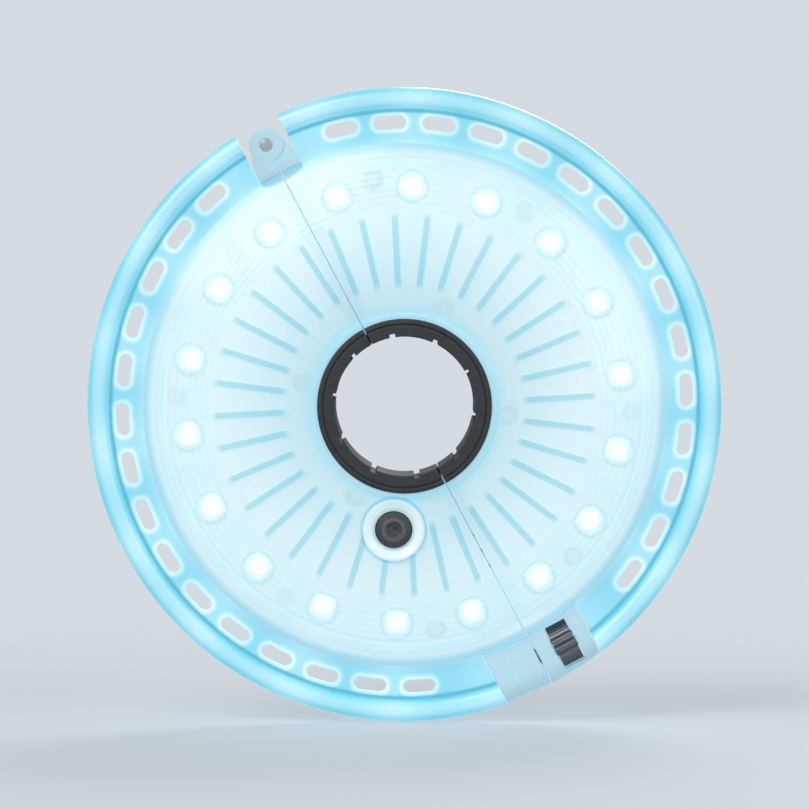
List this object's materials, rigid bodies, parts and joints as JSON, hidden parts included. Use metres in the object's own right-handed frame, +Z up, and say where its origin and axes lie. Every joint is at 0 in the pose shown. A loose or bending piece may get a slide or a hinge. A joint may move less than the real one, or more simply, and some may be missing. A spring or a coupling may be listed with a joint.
{
  "type": "spoke wheel light",
  "caption": "Lit disc that clamps round a bicycle hub between the spokes: domed clear lens, slotted light-guide rim, hinged split ring drawn shut by a thumb wheel, push button on the face.",
  "frame": {"origin": "centre of the hub bore, midway between the pad's two lips", "axes": "+Y along the axle, from the lens front towards the rear shell; +Z up with the hinge at eleven o'clock; X to the right seen from the lens side"},
  "size_m": [0.147, 0.025, 0.147],
  "materials": {
    "lens": "clear polycarbonate, lit from inside",
    "rear_shell": "translucent white, satin",
    "rim": "clear acrylic, lit at its edges",
    "seal": "soft silicone",
    "pad_rubber": "matt",
    "board": "white solder resist",
    "led": "lit emitter",
    "cell": "satin foil pouch",
    "foam": "closed cells",
    "lead": "insulated wire",
    "screw_steel": "plated",
    "component": "moulded",
    "contact_metal": "turned",
    "socket_steel": "drawn sheet",
    "pin_steel": "ground",
    "wheel_metal": "dark anodised, fluted",
    "button_rubber": "matt",
    "plunger": "moulded"
  },
  "bodies": {
    "fixed_half": {"rear_shell_a": "rear_shell", "front_lens_a": "lens", "rim_plate_a": "rim", "lens_seals_a": "seal", "hub_pad_a": "pad_rubber", "led_board_a": "board", "leds_a": "led", "battery_cell_a": "cell", "battery_foam_a": "foam", "battery_leads_a": "lead", "shell_screws_a": "screw_steel", "controller_chip": "component", "motion_switch": "contact_metal", "tact_switch": "component", "button_seal": "seal", "charge_socket": "socket_steel", "charge_cap_pin": "pin_steel", "contact_block_a": "component", "spring_contacts": "contact_metal", "hinge_pin": "pin_steel", "clamp_insert": "contact_metal"},
    "swing_half": {"rear_shell_b": "rear_shell", "front_lens_b": "lens", "rim_plate_b": "rim", "lens_seals_b": "seal", "hub_pad_b": "pad_rubber", "led_board_b": "board", "leds_b": "led", "battery_cell_b": "cell", "battery_foam_b": "foam", "battery_leads_b": "lead", "shell_screws_b": "screw_steel", "contact_block_b": "component", "contact_pads": "contact_metal"},
    "clamp_screw": {"thumb_wheel": "wheel_metal", "clamp_stud": "pin_steel"},
    "button": {"mode_button": "button_rubber", "switch_plunger": "plunger"},
    "charge_door": {"charge_cap": "button_rubber"}
  },
  "joints": [
    {"name": "swing_hinge", "type": "hinge", "parent": "fixed_half", "child": "swing_half", "pos_m": [-0.03188, 0, 0.05995], "axis": [0, -1, 0], "range_deg": [0, 60]},
    {"name": "thumb_screw", "type": "hinge", "parent": "swing_half", "child": "clamp_screw", "pos_m": [0.03108, 0, -0.05845], "axis": [0.8829, 0, 0.4695], "continuous": true},
    {"name": "button_press", "type": "slide", "parent": "fixed_half", "child": "button", "axis": [0, 1, 0], "range_m": [0, 0.0008], "stiffness_N_per_m": 400, "springref_m": -0.0006},
    {"name": "charge_door_hinge", "type": "hinge", "parent": "fixed_half", "child": "charge_door", "pos_m": [0, 0.0108, -0.0364], "axis": [1, 0, 0], "range_deg": [0, 110]}
  ]
}
